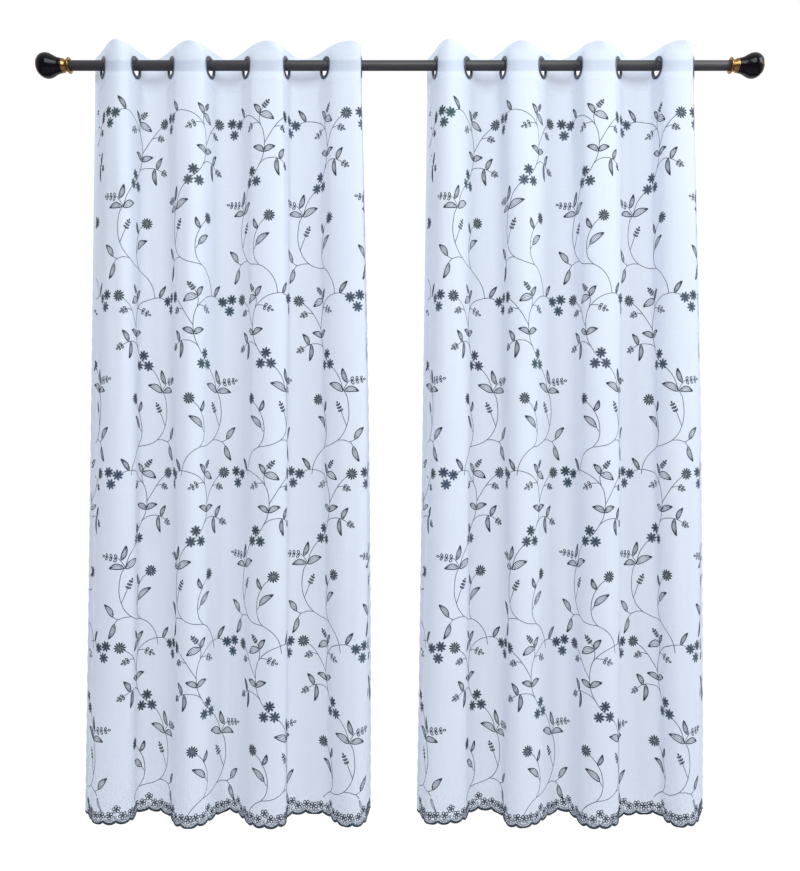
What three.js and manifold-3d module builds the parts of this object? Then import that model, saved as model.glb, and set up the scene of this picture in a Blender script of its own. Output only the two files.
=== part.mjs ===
// A pair of sheer voile eyelet curtains on one plain rod with bulb finials.
// Millimetres, +Z up. The origin is the middle of the rod's axis, +X runs along the rod,
// and -Y is the side that faces the room.
import * as THREE from "three";
import { mergeVertices } from "three/addons/utils/BufferGeometryUtils.js";
import Module from "manifold-3d";

const wasm = await Module();
wasm.setup();

// Driving sizes
const GAP = 0.3; // between pieces that touch on the real thing
const ROUND_SIDES = 20; // of the rod and its finials
const HALVINGS = 40; // of the range in which a fold's fullness is looked for

const CLOTH = {
  width: 1219, // flat, a 48 inch panel
  drop: 2134, // heading edge to the lowest scallop, an 84 inch panel
  thickness: 1.2,
  sideHemWidth: 20,
  sideHemThickness: 2,
  levels: [0, 0.12, 0.32, 0.56, 0.8], // shares of the way from the heading to the hem
};
const HEADING = { height: 100, thickness: 2.4, arcSteps: 7 };
const SCALLOP = {
  widths: [36, 38, 48], // one repeat of the hem: two narrow scallops and a wide one
  start: -9, // where the first repeat begins, past the left edge
  depthShare: 0.18, // of a scallop's width
  fullness: 0.8, // under 1 makes a rounder scallop than a sine
  steps: 4,
  clearOfEdge: 2, // no column stands closer to a side edge
  cordHeight: 6,
  cordThickness: 2.4,
};
const EYELET = {
  innerRadius: 21,
  outerRadius: 30,
  sleeveRadius: 23.5,
  holeRadius: 24.1, // of the hole punched in the heading
  punchLength: 20,
  halfThickness: 3.2,
  innerBevel: 1.6,
  rimWidth: 1,
  rimDrop: 0.4,
  edgeHalfWidth: 1.2, // of the innermost edge, which the rod bears on
  sides: 18,
  fromSide: 57, // last eyelet centre to the side edge
  seatGap: 0.9, // rod top to the eyelet's inner edge
};
const FLANK = { atHeading: 64, atHem: 24 }; // straight stretch of cloth at each eyelet line
const ROD = { radius: 14, halfVisible: 913, socket: 15 };
const VIEW_DISTANCE = 2200; // the folds lean towards a point this far in front of the rod's middle
const PANELS = [
  { name: "left", centre: -467 },
  { name: "right", centre: 453 },
];

// One row for each eyelet line, left to right. The cloth crosses the rod's plane there, by turns
// towards the room and away from it. Angles are from the rod, in degrees; x is from the panel's centre.
const FOLDS = [
  { xTop: -355, angleTop: 67, bulge: 5, xHem: -390, angleHem: 66, yHem: 2 },
  { xTop: -265, angleTop: 71, bulge: 3, xHem: -270, angleHem: 82, yHem: 16 },
  { xTop: -166, angleTop: 67, bulge: 5, xHem: -165, angleHem: 76, yHem: 0 },
  { xTop: -59, angleTop: 67, bulge: -2, xHem: -56, angleHem: 60, yHem: 0 },
  { xTop: 42, angleTop: 68, bulge: 4, xHem: 41, angleHem: 66, yHem: -12 },
  { xTop: 152, angleTop: 68, bulge: 3, xHem: 152, angleHem: 82, yHem: -3 },
  { xTop: 260, angleTop: 68, bulge: -4, xHem: 277, angleHem: 74, yHem: 8 },
  { xTop: 359, angleTop: 80, bulge: 7, xHem: 377, angleHem: 74, yHem: 10 },
];
// How far the free side edges turn outwards past their flank, in degrees.
const SIDE_CURL = {
  left: { atHeading: 58, atHem: 6 },
  right: { atHeading: 6, atHem: 10 },
};

// Sizes that follow
const PITCH = (CLOTH.width - 2 * EYELET.fromSide) / (FOLDS.length - 1);
const EYELET_Z = ROD.radius + EYELET.seatGap - EYELET.innerRadius;
const HEADING_TOP = EYELET_Z + HEADING.height / 2;
const HEADING_FOOT = HEADING_TOP - HEADING.height;
const CLOTH_TOP = HEADING_FOOT - GAP;
const CUSP_Z = HEADING_TOP - CLOTH.drop + SCALLOP.depthShare * Math.max(...SCALLOP.widths);

const { degToRad, lerp } = THREE.MathUtils;

function material(color, roughness, metalness = 0) {
  return new THREE.MeshStandardMaterial({ color, roughness, metalness });
}
const FINISH = {
  voile: material(0xdfe7f5, 0.9),
  heading: material(0xe6ecf8, 0.85),
  eyelet: material(0x3d4150, 0.35, 0.7),
  rod: material(0x2c2c2f, 0.45, 0.6),
  bulb: material(0x08080a, 0.18),
  gold: material(0xb5813f, 0.3, 1),
};

function named(name, geometry, finish) {
  const mesh = new THREE.Mesh(geometry, finish);
  mesh.name = name;
  return mesh;
}

// Manifold solids, for the holes in the heading
function toSolid(geometry) {
  const bare = geometry.clone();
  bare.deleteAttribute("normal");
  bare.deleteAttribute("uv");
  const merged = mergeVertices(bare);
  return new wasm.Manifold(
    new wasm.Mesh({
      numProp: 3,
      vertProperties: merged.attributes.position.array,
      triVerts: new Uint32Array(merged.index.array),
    }),
  );
}

function toGeometry(solid) {
  const mesh = solid.getMesh();
  const geometry = new THREE.BufferGeometry();
  geometry.setAttribute("position", new THREE.BufferAttribute(mesh.vertProperties, 3));
  geometry.setIndex(new THREE.BufferAttribute(mesh.triVerts, 1));
  geometry.computeVertexNormals();
  return geometry;
}

// The eyelet lines of one panel at a level, 0 at the heading and 1 at the hem:
// where each crosses, the way the cloth runs there and how long its straight stretch is.
function eyeletLines(panel, level) {
  const lean = panel.centre / VIEW_DISTANCE;
  const eased = 1 - (1 - level) ** 2;
  return FOLDS.map((fold, i) => {
    const angle = degToRad(lerp(fold.angleTop, fold.angleHem, eased));
    const towardsRoom = i % 2 === 0 ? -1 : 1;
    const across = towardsRoom * Math.sin(angle);
    const bulge = 4 * fold.bulge * level * (1 - level);
    const y = fold.yHem * level;
    return {
      at: new THREE.Vector2(lerp(fold.xTop, fold.xHem, level) + bulge + lean * y, y),
      along: new THREE.Vector2(Math.cos(angle) + lean * across, across).normalize(),
      half: lerp(FLANK.atHeading, FLANK.atHem, eased) / 2,
    };
  });
}

// A rounded fold of a set length of cloth between two straight stretches.
function foldCurve(from, fromWay, to, toWay, length) {
  let short = 1;
  let long = length;
  let curve;
  for (let i = 0; i < HALVINGS; i += 1) {
    const reach = (short + long) / 2;
    curve = new THREE.CubicBezierCurve(
      from,
      from.clone().addScaledVector(fromWay, reach),
      to.clone().addScaledVector(toWay, -reach),
      to,
    );
    if (curve.getLength() < length) short = reach;
    else long = reach;
  }
  return curve;
}

// A free side edge: it leaves its straight stretch and turns by the curl.
function sideCurve(from, way, curl, length) {
  const turned = way.clone().rotateAround(new THREE.Vector2(), degToRad(curl));
  const middle = from.clone().addScaledVector(way, length / 2);
  return new THREE.QuadraticBezierCurve(from, middle, middle.clone().addScaledVector(turned, length / 2));
}

// The cloth's course across one level, as stretches with their flat start and length.
function courseAt(panel, level) {
  const lines = eyeletLines(panel, level);
  const stretches = [];
  const start = (line) => line.at.clone().addScaledVector(line.along, -line.half);
  const end = (line) => line.at.clone().addScaledVector(line.along, line.half);
  const curl = ({ atHeading, atHem }) => lerp(atHeading, atHem, level);
  const last = lines.length - 1;
  const leftLength = EYELET.fromSide - lines[0].half;
  const leftWay = lines[0].along.clone().negate();
  const leftEdge = sideCurve(start(lines[0]), leftWay, curl(SIDE_CURL.left), leftLength);
  stretches.push({ curve: leftEdge, begin: 0, length: leftLength, reversed: true });
  lines.forEach((line, i) => {
    const middle = EYELET.fromSide + i * PITCH;
    const flank = new THREE.LineCurve(start(line), end(line));
    stretches.push({ curve: flank, begin: middle - line.half, length: 2 * line.half });
    if (i === last) return;
    const next = lines[i + 1];
    const length = PITCH - line.half - next.half;
    const curve = foldCurve(end(line), line.along, start(next), next.along, length);
    stretches.push({ curve, begin: middle + line.half, length });
  });
  const rightLength = EYELET.fromSide - lines[last].half;
  const rightEdge = sideCurve(end(lines[last]), lines[last].along, -curl(SIDE_CURL.right), rightLength);
  stretches.push({ curve: rightEdge, begin: CLOTH.width - rightLength, length: rightLength });
  return stretches;
}

// Where the cloth is at a flat distance from its left edge, and the way it runs there.
function onCourse(stretches, flat) {
  const stretch = stretches.findLast((s) => flat >= s.begin - 1e-6) ?? stretches[0];
  const share = THREE.MathUtils.clamp((flat - stretch.begin) / stretch.length, 0, 1);
  const u = stretch.reversed ? 1 - share : share;
  const way = stretch.curve.getTangentAt(u);
  if (stretch.reversed) way.negate();
  return { at: stretch.curve.getPointAt(u), back: new THREE.Vector2(-way.y, way.x) };
}

// Closes a grid of front and back points into one thin solid, rows running down.
function sheetGeometry(columns, rows, placeOf) {
  const positions = [];
  const index = [];
  const quad = (a, b, c, d) => index.push(a, b, c, a, c, d);
  const id = (side, column, row) => (side * rows + row) * columns + column;
  for (const side of [0, 1])
    for (let row = 0; row < rows; row += 1)
      for (let column = 0; column < columns; column += 1) positions.push(...placeOf(side, column, row));
  for (let row = 0; row + 1 < rows; row += 1) {
    for (let column = 0; column + 1 < columns; column += 1) {
      const right = column + 1;
      const under = row + 1;
      quad(id(0, column, under), id(0, right, under), id(0, right, row), id(0, column, row));
      quad(id(1, right, under), id(1, column, under), id(1, column, row), id(1, right, row));
    }
    const end = columns - 1;
    quad(id(1, 0, row + 1), id(0, 0, row + 1), id(0, 0, row), id(1, 0, row));
    quad(id(0, end, row + 1), id(1, end, row + 1), id(1, end, row), id(0, end, row));
  }
  for (let column = 0; column + 1 < columns; column += 1) {
    const foot = rows - 1;
    quad(id(0, column, 0), id(0, column + 1, 0), id(1, column + 1, 0), id(1, column, 0));
    quad(id(1, column, foot), id(1, column + 1, foot), id(0, column + 1, foot), id(0, column, foot));
  }
  const geometry = new THREE.BufferGeometry();
  geometry.setAttribute("position", new THREE.Float32BufferAttribute(positions, 3));
  geometry.setIndex(index);
  geometry.computeVertexNormals();
  return geometry;
}

// Where the scallops of the hem meet, across the flat cloth, from just past one side edge to past the other.
function scallopCusps() {
  const { start, widths } = SCALLOP;
  const cusps = [start];
  while (cusps.at(-1) < CLOTH.width) cusps.push(cusps.at(-1) + widths[(cusps.length - 1) % widths.length]);
  return cusps;
}

// The flat distances of the cloth's columns: both side edges, and steps along each scallop.
function hemStops(cusps) {
  const stops = [0];
  for (let i = 0; i + 1 < cusps.length; i += 1)
    for (let step = 0; step < SCALLOP.steps; step += 1) {
      const flat = lerp(cusps[i], cusps[i + 1], step / SCALLOP.steps);
      if (flat > SCALLOP.clearOfEdge && flat < CLOTH.width - SCALLOP.clearOfEdge) stops.push(flat);
    }
  stops.push(CLOTH.width);
  return stops;
}

// The hanging voile: folds from the heading down, side hems, and a corded scalloped hem.
function clothGeometry(panel) {
  const cusps = scallopCusps();
  const stops = hemStops(cusps);
  const hemAt = (flat) => {
    const i = cusps.findLastIndex((cusp) => cusp <= flat);
    const width = cusps[i + 1] - cusps[i];
    const share = (flat - cusps[i]) / width;
    return CUSP_Z - SCALLOP.depthShare * width * Math.sin(Math.PI * share) ** SCALLOP.fullness;
  };
  const levels = CLOTH.levels.map((level) => ({ level, lift: 0 }));
  levels.push({ level: 1, lift: SCALLOP.cordHeight }, { level: 1, lift: 0 });
  const courses = levels.map(({ level }) => courseAt(panel, level));
  const foot = levels.length - 1;
  const placeOf = (side, column, row) => {
    const flat = stops[column];
    const { at, back } = onCourse(courses[row], flat);
    const inSideHem = Math.min(flat, CLOTH.width - flat) < CLOTH.sideHemWidth;
    const plain = inSideHem ? CLOTH.sideHemThickness : CLOTH.thickness;
    const thickness = row === foot ? SCALLOP.cordThickness : plain;
    const point = at.clone().addScaledVector(back, (side - 0.5) * thickness);
    const { level, lift } = levels[row];
    const z = level < 1 ? lerp(CLOTH_TOP, CUSP_Z, level) : hemAt(flat) + lift;
    return [point.x, point.y, z];
  };
  return sheetGeometry(stops.length, levels.length, placeOf);
}

// The flat distances where the heading bends: both ends of each stretch, and steps round each fold.
function headingStops(stretches) {
  const stops = [];
  for (const { curve, begin, length } of stretches) {
    const steps = curve.isLineCurve ? 1 : HEADING.arcSteps;
    for (let i = 0; i < steps; i += 1) stops.push(begin + (length * i) / steps);
  }
  stops.push(CLOTH.width);
  return stops;
}

// The stiffened heading strip, with a punched hole for each eyelet.
function headingGeometry(panel, eyelets) {
  const course = courseAt(panel, 0);
  const places = headingStops(course).map((flat) => onCourse(course, flat));
  const shift = HEADING.thickness / 2;
  const front = places.map(({ at, back }) => at.clone().addScaledVector(back, -shift));
  const rear = places.map(({ at, back }) => at.clone().addScaledVector(back, shift));
  const strip = new THREE.ExtrudeGeometry(new THREE.Shape([...front, ...rear.reverse()]), {
    depth: HEADING.height,
    bevelEnabled: false,
  });
  strip.translate(0, 0, HEADING_FOOT);
  let solid = toSolid(strip);
  for (const eyelet of eyelets) {
    const { holeRadius, punchLength, sides } = EYELET;
    const punch = new THREE.CylinderGeometry(holeRadius, holeRadius, punchLength, sides);
    punch.applyQuaternion(eyelet.turn).translate(...eyelet.centre);
    solid = solid.subtract(toSolid(punch));
  }
  return toGeometry(solid);
}

// A two-flanged eyelet ring whose groove grips the heading, turned about Y.
function eyeletGeometry() {
  const { innerRadius, outerRadius, halfThickness } = EYELET;
  const groove = HEADING.thickness / 2 + GAP;
  const inwards = [
    [EYELET.sleeveRadius, groove],
    [outerRadius, groove],
    [outerRadius - EYELET.rimWidth, halfThickness - EYELET.rimDrop],
    [innerRadius + EYELET.innerBevel, halfThickness],
    [innerRadius, EYELET.edgeHalfWidth],
  ];
  const outwards = inwards.map(([radius, height]) => [radius, -height]).reverse();
  const outline = [...outwards, ...inwards, outwards[0]].map(([r, h]) => new THREE.Vector2(r, h));
  return new THREE.LatheGeometry(outline, EYELET.sides);
}

function curtain(panel) {
  const group = new THREE.Group();
  group.position.x = panel.centre;
  const axis = new THREE.Vector3(0, 1, 0);
  const eyelets = eyeletLines(panel, 0).map(({ at, along }) => ({
    centre: [at.x, at.y, EYELET_Z],
    turn: new THREE.Quaternion().setFromUnitVectors(axis, new THREE.Vector3(-along.y, along.x, 0)),
  }));
  group.add(named(`cloth_${panel.name}`, clothGeometry(panel), FINISH.voile));
  group.add(named(`heading_${panel.name}`, headingGeometry(panel, eyelets), FINISH.heading));
  eyelets.forEach((eyelet, i) => {
    const ring = named(`eyelet_${panel.name}_${i + 1}`, eyeletGeometry(), FINISH.eyelet);
    ring.position.set(...eyelet.centre);
    ring.quaternion.copy(eyelet.turn);
    group.add(ring);
  });
  return group;
}

// Turned pieces are lathed about Y, from pairs of radius and distance out from the rod's visible end.
function turned(points) {
  return new THREE.LatheGeometry(
    points.map(([radius, out]) => new THREE.Vector2(radius, out)),
    ROUND_SIDES,
  );
}

function rodMesh() {
  const length = 2 * (ROD.halfVisible + ROD.socket);
  const bar = new THREE.CylinderGeometry(ROD.radius, ROD.radius, length, ROUND_SIDES);
  const rod = named("rod", bar, FINISH.rod);
  rod.rotation.z = Math.PI / 2;
  return rod;
}

// Gilt collar over the rod's end, black bulb, and a gilt cap on its tip.
function finial(side) {
  const bore = ROD.radius + GAP;
  const floor = ROD.socket + GAP;
  const collar = [
    [0, floor],
    [bore, floor],
    [bore, 0],
    [20.6, 0],
    [22, 1.8],
    [21.2, 3.8],
    [16, 8.4],
    [16, 12.6],
    [19, 18],
    [19.8, 20],
    [19.4, 22.6],
    [0, 22.6],
  ];
  const bulb = [
    [0, 22.9],
    [19.6, 22.9],
    [20.4, 27],
    [21.6, 33],
    [24.6, 40],
    [29, 48],
    [32.6, 56],
    [34, 63],
    [33.6, 70],
    [31.4, 77],
    [27.4, 83],
    [0, 83],
  ];
  const cap = [
    [0, 83.3],
    [24.4, 83.3],
    [24.4, 85.2],
    [22, 88],
    [15, 91],
    [0, 92.6],
  ];
  const group = new THREE.Group();
  group.add(named(`finial_${side}_collar`, turned(collar), FINISH.gold));
  group.add(named(`finial_${side}_bulb`, turned(bulb), FINISH.bulb));
  group.add(named(`finial_${side}_cap`, turned(cap), FINISH.gold));
  const outward = side === "left" ? -1 : 1;
  group.position.x = outward * ROD.halfVisible;
  group.rotation.z = (-outward * Math.PI) / 2;
  return group;
}

const curtains = new THREE.Group();
curtains.add(rodMesh(), finial("left"), finial("right"));
for (const panel of PANELS) curtains.add(curtain(panel));

export default curtains;
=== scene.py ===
import math

import bpy
import numpy as np
from mathutils import Matrix, Vector


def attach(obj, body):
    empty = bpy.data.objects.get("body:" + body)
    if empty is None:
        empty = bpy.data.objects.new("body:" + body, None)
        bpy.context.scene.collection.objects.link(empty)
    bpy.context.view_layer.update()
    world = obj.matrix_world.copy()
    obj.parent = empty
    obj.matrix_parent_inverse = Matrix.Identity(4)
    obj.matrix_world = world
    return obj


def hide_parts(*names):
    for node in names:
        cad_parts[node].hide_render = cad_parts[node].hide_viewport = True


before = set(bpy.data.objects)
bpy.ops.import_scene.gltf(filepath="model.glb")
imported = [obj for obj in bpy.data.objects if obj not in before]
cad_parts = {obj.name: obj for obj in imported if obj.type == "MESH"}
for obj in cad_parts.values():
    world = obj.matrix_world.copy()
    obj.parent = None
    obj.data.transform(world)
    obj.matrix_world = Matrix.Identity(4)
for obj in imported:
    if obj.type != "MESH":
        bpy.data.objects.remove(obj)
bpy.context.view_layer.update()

print("frame loaded:", len(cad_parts), "CAD nodes")

# Driving sizes, in metres, and the camera's lens and sensor in millimetres
cloth = {"width": 1.219, "drop": 2.134, "headingHeight": 0.1, "seamGap": 0.0003, "sideHem": 0.020}
rodSize = {
    "radius": 0.014, "halfVisible": 0.913, "socket": 0.015, "wall": 0.0012, "sides": 64, "rounding": 0.0004,
}
eyeletPlan = {"count": 8, "fromSide": 0.057, "inner": 0.021, "hole": 0.0242, "seatGap": 0.0009}
scallop = {"widths": (0.036, 0.038, 0.048), "start": -0.009, "depthShare": 0.18, "fullness": 0.8}
panelCentre = {"left": -0.467, "right": 0.453}
photo = {"distance": 2.2, "eyeHeight": -1.0246, "lens": 32.83, "sensor": 36.0}

eyeletPitch = (cloth["width"] - 2 * eyeletPlan["fromSide"]) / (eyeletPlan["count"] - 1)
eyeletHeight = rodSize["radius"] + eyeletPlan["seatGap"] - eyeletPlan["inner"]
headingTop = eyeletHeight + cloth["headingHeight"] / 2
voileTop = cloth["headingHeight"] + cloth["seamGap"]  # measured down the cloth from the heading's edge
cuspDrop = cloth["drop"] - scallop["depthShare"] * max(scallop["widths"])


# Shader maths: a socket that takes + - * and makes the nodes it needs
class Socket:
    def __init__(self, tree, socket=None):
        self.tree = tree
        self.socket = socket

    def node(self, kind, settings=None, sockets=None, out=0):
        made = self.tree.nodes.new(kind)
        for key, value in (settings or {}).items():
            setattr(made, key, value)
        for key, value in (sockets or {}).items():
            if isinstance(value, Socket):
                self.tree.links.new(value.socket, made.inputs[key])
            else:
                made.inputs[key].default_value = value
        return Socket(self.tree, made.outputs[out] if made.outputs else None)

    def maths(self, operation, first, second):
        return self.node("ShaderNodeMath", {"operation": operation}, {0: first, 1: second})

    def __add__(self, other):
        return self.maths("ADD", self, other)

    def __radd__(self, other):
        return self.maths("ADD", other, self)

    def __sub__(self, other):
        return self.maths("SUBTRACT", self, other)

    def __mul__(self, other):
        return self.maths("MULTIPLY", self, other)

    def __rmul__(self, other):
        return self.maths("MULTIPLY", other, self)


def newFinish(name):
    material = bpy.data.materials.new(name)
    material.use_nodes = True
    material.node_tree.nodes.clear()
    return material, Socket(material.node_tree)


def showFinish(start, shader):
    start.node("ShaderNodeOutputMaterial", {}, {"Surface": shader})


def mixColour(start, share, first, second, blend="MIX"):
    settings = {"data_type": "RGBA", "blend_type": blend}
    return start.node("ShaderNodeMix", settings, {"Factor": share, 6: first, 7: second}, out=2)


def shareBetween(start, value, first, last, kind="LINEAR"):
    limits = {"Value": value, "From Min": first, "From Max": last}
    return start.node("ShaderNodeMapRange", {"interpolation_type": kind}, limits)


def bumpOn(start, look, height):
    depth = {"Strength": look["bump"], "Distance": look["bumpDepth"], "Height": height}
    return start.node("ShaderNodeBump", {}, depth)


def noiseOn(start, coordinates, scale, detail=2.0):
    return start.node("ShaderNodeTexNoise", {}, {"Vector": coordinates, "Scale": scale, "Detail": detail})


def stretched(start, coordinates, scale):
    return start.node("ShaderNodeMapping", {}, {"Vector": coordinates, "Scale": scale})


# Camera at the photo's place: level, in front of the middle of the curtains
bpy.ops.object.camera_add(
    location=(0, -photo["distance"], photo["eyeHeight"]), rotation=(math.radians(90), 0, 0)
)
camera = bpy.context.object
camera.data.sensor_width = photo["sensor"]
camera.data.lens = photo["lens"]
bpy.context.scene.camera = camera
bpy.context.scene.view_settings.view_transform = "Standard"
print("camera at", tuple(camera.location))


# Pale floor well below the hem, a room white behind, bright at the sides and dim in front, two soft lamps
studio = {
    "floorHeight": -2.9, "floorWidth": 7.0, "floorFrom": -3.6, "floorTo": 0.5,
    "floorDull": (0.42, 0.39, 0.46, 1), "floorBright": (0.46, 0.43, 0.50, 1),
    "mottle": 1.5, "floorRoughness": 0.9,
    "sweep": (1.0, 1.0, 1.0, 1.0), "sweepFrom": 0.42, "sweepTo": 0.78, "strength": 1.06,
    "leftSide": (0.62, 0.64, 0.71, 1.0), "rightSide": (1.00, 1.05, 1.11, 1.0),
    "front": (0.07, 0.08, 0.09, 1.0), "frontFrom": -0.25, "frontTo": -0.95,
    "below": (0.18, 0.15, 0.23, 1.0), "belowFrom": 0.1, "belowTo": -0.5,
    "lampTint": (0.94, 1.0, 0.99),
}
lampRows = [
    {"place": (3.2, -1.5, 1.1), "aim": (0.0, 0.0, -0.5), "size": 1.8, "watts": 90.0},
    {"place": (0.3, -2.8, 1.2), "aim": (0.0, 0.0, -0.4), "size": 2.0, "watts": 94.0},
]


def floorFinish():
    material, start = newFinish("paleFloor")
    position = start.node("ShaderNodeTexCoord", out=3)
    mottle = noiseOn(start, position, studio["mottle"])
    colour = mixColour(start, mottle, studio["floorDull"], studio["floorBright"])
    surface = {"Base Color": colour, "Roughness": studio["floorRoughness"]}
    showFinish(start, start.node("ShaderNodeBsdfPrincipled", {}, surface))
    return material


def buildFloor():
    depth = studio["floorTo"] - studio["floorFrom"]
    middle = (studio["floorTo"] + studio["floorFrom"]) / 2
    bpy.ops.mesh.primitive_plane_add(size=1, location=(0, middle, studio["floorHeight"]))
    floor = bpy.context.object
    floor.name = "studioFloor"
    floor.scale = (studio["floorWidth"], depth, 1)
    bpy.ops.object.transform_apply(location=True, rotation=True, scale=True)
    floor.data.materials.append(floorFinish())


def lightRoom():
    room = bpy.data.worlds.new("studioRoom")
    room.use_nodes = True
    room.node_tree.nodes.clear()
    start = Socket(room.node_tree)
    way = start.node("ShaderNodeTexCoord")
    rightward = start.node("ShaderNodeSeparateXYZ", {}, {"Vector": way}, out=0)
    backward = start.node("ShaderNodeSeparateXYZ", {}, {"Vector": way}, out=1)
    upward = start.node("ShaderNodeSeparateXYZ", {}, {"Vector": way}, out=2)
    sides = mixColour(start, rightward * 0.5 + 0.5, studio["leftSide"], studio["rightSide"])
    ahead = shareBetween(start, backward, studio["frontFrom"], studio["frontTo"])
    sides = mixColour(start, ahead, sides, studio["front"])
    low = shareBetween(start, upward, studio["belowFrom"], studio["belowTo"])
    sides = mixColour(start, low, sides, studio["below"])
    sweep = shareBetween(start, backward, studio["sweepFrom"], studio["sweepTo"], "SMOOTHSTEP")
    colour = mixColour(start, sweep, sides, studio["sweep"])
    glow = start.node("ShaderNodeBackground", {}, {"Color": colour, "Strength": studio["strength"]})
    start.node("ShaderNodeOutputWorld", {}, {"Surface": glow})
    bpy.context.scene.world = room


buildFloor()
lightRoom()
for row in lampRows:
    way = Vector(row["aim"]) - Vector(row["place"])
    turn = way.to_track_quat("-Z", "Y").to_euler()
    bpy.ops.object.light_add(type="AREA", location=row["place"], rotation=turn)
    lamp = bpy.context.object.data
    lamp.size = row["size"]
    lamp.energy = row["watts"]
    lamp.color = studio["lampTint"]
print("studio ready")


# Finishes, with noise scales per metre
weave = {
    "alongThread": 9.0, "acrossThread": 900.0, "threadDetail": 3.0, "cloud": 5.0, "fine": 1400.0,
    "warpShare": 0.6, "weftShare": 0.4, "slubTint": 0.5, "slubCover": 0.12, "fineShare": 0.4,
    "bump": 0.25, "bumpDepth": 0.0003, "roughness": 0.85, "sheen": 0.15, "hemEdge": 0.001,
}


def clothFinish(name, look):
    material, start = newFinish(name)
    flat = start.node("ShaderNodeUVMap", {"uv_map": "flat"})
    long, wide, detail = weave["alongThread"], weave["acrossThread"], weave["threadDetail"]
    warpSlub = noiseOn(start, stretched(start, flat, (wide, long, 1.0)), 1.0, detail)
    weftSlub = noiseOn(start, stretched(start, flat, (long, wide, 1.0)), 1.0, detail)
    cloud = noiseOn(start, flat, weave["cloud"])
    slub = warpSlub * weave["warpShare"] + weftSlub * weave["weftShare"]
    across = start.node("ShaderNodeSeparateXYZ", {}, {"Vector": flat})
    fromMiddle = start.node("ShaderNodeMath", {"operation": "ABSOLUTE"}, {0: across - cloth["width"] / 2})
    hemLine, hemEdge = cloth["width"] / 2 - cloth["sideHem"], weave["hemEdge"]
    hemShare = shareBetween(start, fromMiddle, hemLine - hemEdge, hemLine + hemEdge)
    colour = mixColour(start, cloud, look["dull"], look["bright"])
    colour = mixColour(start, slub * weave["slubTint"], colour, look["slub"])
    fine = noiseOn(start, stretched(start, flat, (weave["fine"], weave["fine"], 1.0)), 1.0, 1.0)
    bump = bumpOn(start, weave, slub + fine * weave["fineShare"])
    surface = {
        "Base Color": colour, "Roughness": weave["roughness"], "Sheen Weight": weave["sheen"], "Normal": bump,
    }
    front = start.node("ShaderNodeBsdfPrincipled", {}, surface)
    through = start.node("ShaderNodeBsdfTranslucent", {}, {"Color": look["through"], "Normal": bump})
    lit = start.node("ShaderNodeMixShader", {}, {0: look["glow"], 1: front, 2: through})
    cover = look["cover"] + slub * weave["slubCover"] + hemShare * look["hemCover"]
    clear = start.node("ShaderNodeBsdfTransparent")
    showFinish(start, start.node("ShaderNodeMixShader", {}, {0: cover, 1: clear, 2: lit}))
    material.surface_render_method = "BLENDED"
    return material


voileLook = {
    "dull": (0.70, 0.77, 0.87, 1), "bright": (0.75, 0.81, 0.90, 1), "slub": (0.84, 0.88, 0.94, 1),
    "through": (0.74, 0.80, 0.90, 1), "glow": 0.50, "cover": 0.515, "hemCover": 0.12,
}
headingLook = {
    "dull": (0.75, 0.81, 0.91, 1), "bright": (0.79, 0.85, 0.94, 1), "slub": (0.86, 0.90, 0.96, 1),
    "through": (0.80, 0.86, 0.95, 1), "glow": 0.5, "cover": 0.58, "hemCover": 0.08,
}


# shade multiplies the dye into the darker colour used as painted shade between the thread's twists, and also
# for random fuzz tone
threadLook = {
    "twist": 5200.0, "fuzz": (2500.0, 2.0, 1.0), "shade": (0.6, 0.6, 0.64, 1), "fuzzShare": 0.5,
    "bump": 0.5, "bumpDepth": 0.0002, "roughness": 0.42, "roughSpread": 0.25, "specular": 0.3,
}


def threadFinish():
    material, start = newFinish("slateThread")
    dye = start.node("ShaderNodeAttribute", {"attribute_name": "dye"})
    flat = start.node("ShaderNodeUVMap", {"uv_map": "stitch"})
    along = start.node("ShaderNodeSeparateXYZ", {}, {"Vector": flat})
    # Painted shade of the twist: a sine along each stitch darkens the dye in the twist grooves, mixed with
    # random fuzz tone; the same sine also drives the bump
    twist = start.node("ShaderNodeMath", {"operation": "SINE"}, {0: along * threadLook["twist"]}) * 0.5 + 0.5
    fuzz = noiseOn(start, stretched(start, flat, threadLook["fuzz"]), 1.0)
    dark = mixColour(start, 1.0, dye, threadLook["shade"], "MULTIPLY")
    share = threadLook["fuzzShare"]
    colour = mixColour(start, twist * (1 - share) + fuzz * share, dark, dye)
    surface = {
        "Base Color": colour,
        "Roughness": threadLook["roughness"] + fuzz * threadLook["roughSpread"],
        "Specular IOR Level": threadLook["specular"],
        "Normal": bumpOn(start, threadLook, twist + fuzz * share),
    }
    showFinish(start, start.node("ShaderNodeBsdfPrincipled", {}, surface))
    return material


hardSkin = {
    "wear": 60.0, "wearDetail": 4.0, "speck": 840.0, "wearShare": 0.7, "speckShare": 0.3,
    "bump": 0.06, "bumpDepth": 0.0003,
}


def hardFinish(name, look):
    material, start = newFinish(name)
    position = start.node("ShaderNodeTexCoord", out=3)
    wear = noiseOn(start, position, hardSkin["wear"], hardSkin["wearDetail"])
    speck = noiseOn(start, position, hardSkin["speck"])
    share = wear * hardSkin["wearShare"] + speck * hardSkin["speckShare"]
    colour = mixColour(start, share, look["dark"], look["light"])
    smooth, rough = look["roughness"]
    surface = {
        "Base Color": colour,
        "Metallic": look["metallic"],
        "Roughness": smooth + (rough - smooth) * wear,
        "Specular IOR Level": look["specular"],
        "Normal": bumpOn(start, hardSkin, speck),
    }
    showFinish(start, start.node("ShaderNodeBsdfPrincipled", {}, surface))
    return material


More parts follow.
